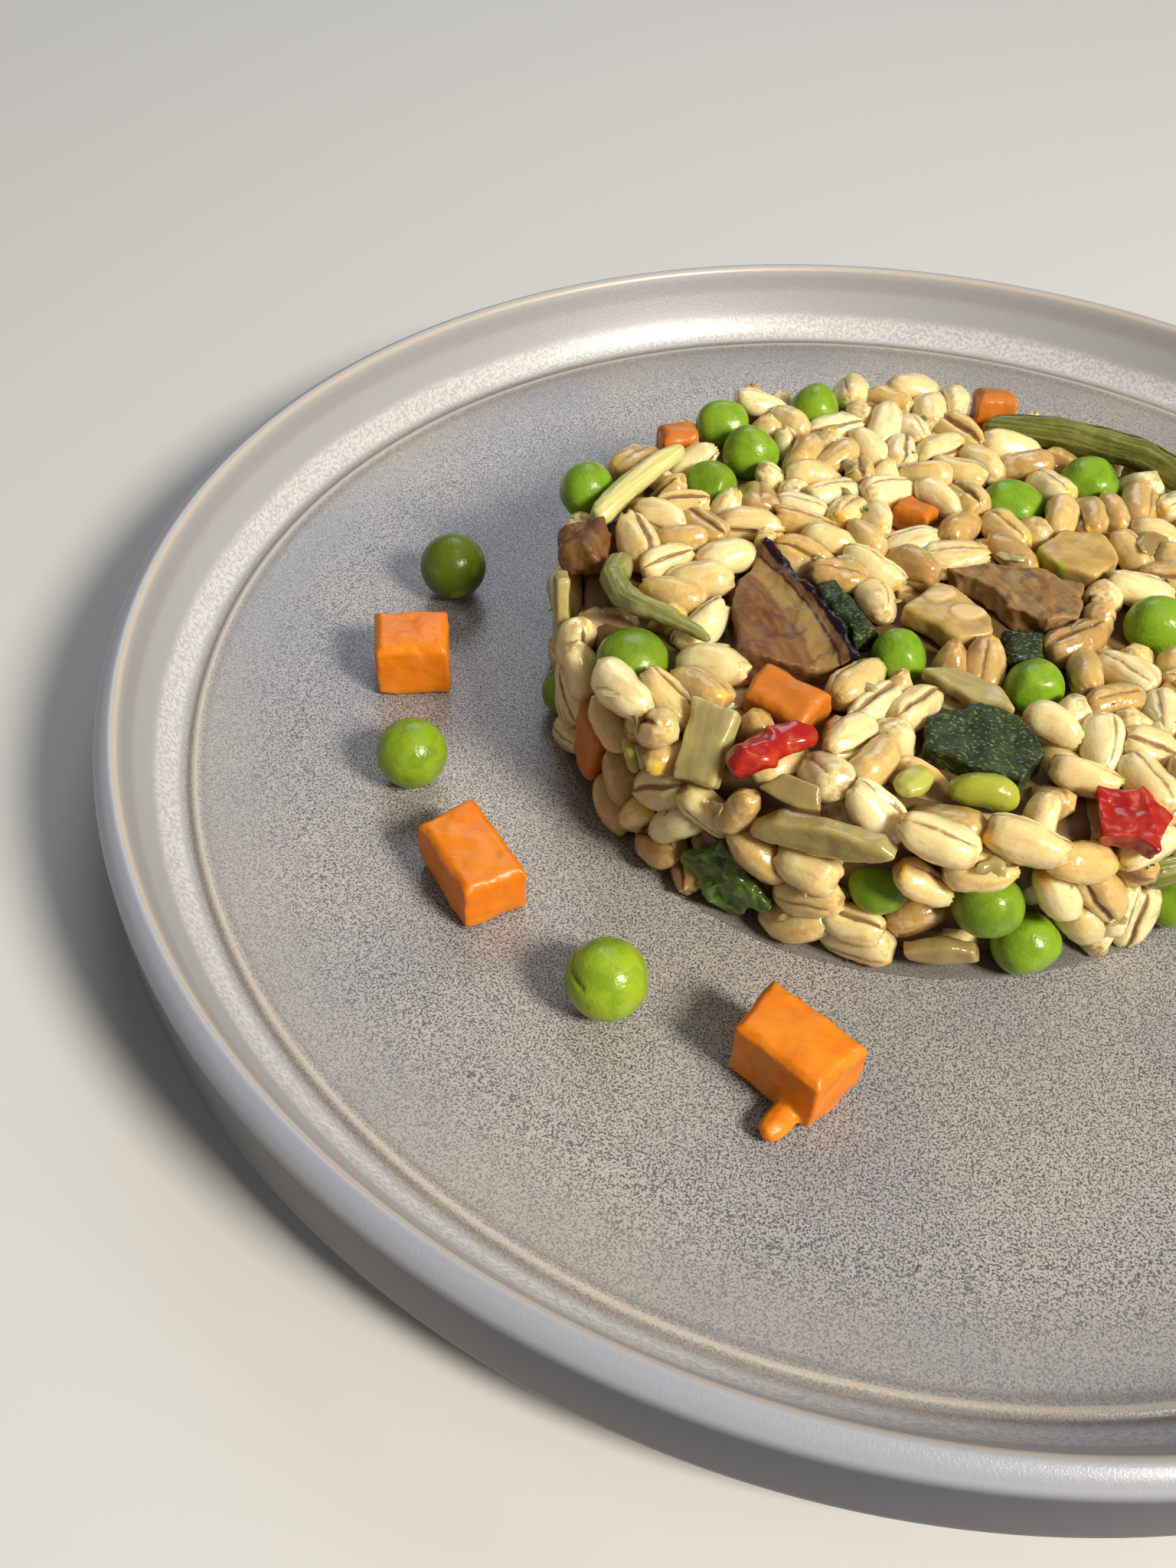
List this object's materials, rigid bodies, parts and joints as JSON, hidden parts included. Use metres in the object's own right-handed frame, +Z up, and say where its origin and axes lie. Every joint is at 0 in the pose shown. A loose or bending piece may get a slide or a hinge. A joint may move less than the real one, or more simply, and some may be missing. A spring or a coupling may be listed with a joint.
{
  "type": "plate of farro with vegetables",
  "caption": "Moulded round of pearled farro with diced vegetables on a low-rimmed grey stoneware plate, with loose peas and carrot cubes beside it.",
  "frame": {"origin": "centre of the plate's foot ring, on the surface it stands on", "axes": "+Z up; -Y towards the diner, where the arc of loose peas and carrot cubes ends; the arc runs round the -X side"},
  "size_m": [0.22, 0.22, 0.0336],
  "materials": {
    "glaze": "mottled grey reactive glaze, satin, tan where it thins at the edges",
    "farro": "wet cooked grain, pale straw, glossy",
    "pea": "cooked garden peas, glossy green",
    "carrot": "cooked orange root, moist",
    "aubergine": "soft brown flesh, moist",
    "courgette": "very dark green skin with fine pale specks",
    "courgette_flesh": "translucent tan flesh, moist",
    "green_bean": "olive green pod, moist",
    "pale_bean": "pale yellow-green pod, moist",
    "onion": "translucent cooked onion and leaf rib, wet",
    "leaf": "dark green cooked leaf, wet",
    "pepper": "glossy red, wet",
    "seed": "pale green seed, wet"
  },
  "bodies": {
    "root": {"plate": "glaze", "farro": "farro", "pea_01": "pea", "pea_02": "pea", "pea_03": "pea", "pea_04": "pea", "pea_05": "pea", "pea_06": "pea", "pea_07": "pea", "pea_08": "pea", "pea_09": "pea", "pea_10": "pea", "pea_11": "pea", "pea_12": "pea", "pea_13": "pea", "pea_14": "pea", "pea_15": "pea", "pea_16": "pea", "pea_17": "pea", "pea_18": "pea", "pea_19": "pea", "carrot_01": "carrot", "carrot_02": "carrot", "carrot_03": "carrot", "carrot_04": "carrot", "carrot_05": "carrot", "carrot_06": "carrot", "carrot_07": "carrot", "aubergine_01": "aubergine", "aubergine_02": "aubergine", "aubergine_03": "aubergine", "courgette_01": "courgette", "courgette_02": "courgette_flesh", "courgette_03": "courgette", "courgette_04": "courgette_flesh", "courgette_05": "courgette", "courgette_06": "courgette_flesh", "seed_01": "seed", "seed_02": "seed", "courgette_07": "courgette", "bean_01": "green_bean", "bean_02": "pale_bean", "bean_03": "green_bean", "bean_04": "green_bean", "onion_01": "onion", "onion_02": "onion", "onion_03": "onion", "onion_04": "onion", "onion_05": "onion", "cabbage_01": "onion", "leaf_01": "leaf", "pepper_01": "pepper", "pepper_02": "pepper", "loose_pea_1": "pea", "loose_carrot_1": "carrot", "loose_pea_2": "pea", "loose_carrot_2": "carrot", "loose_pea_3": "pea", "loose_carrot_3": "carrot"}
  },
  "joints": []
}
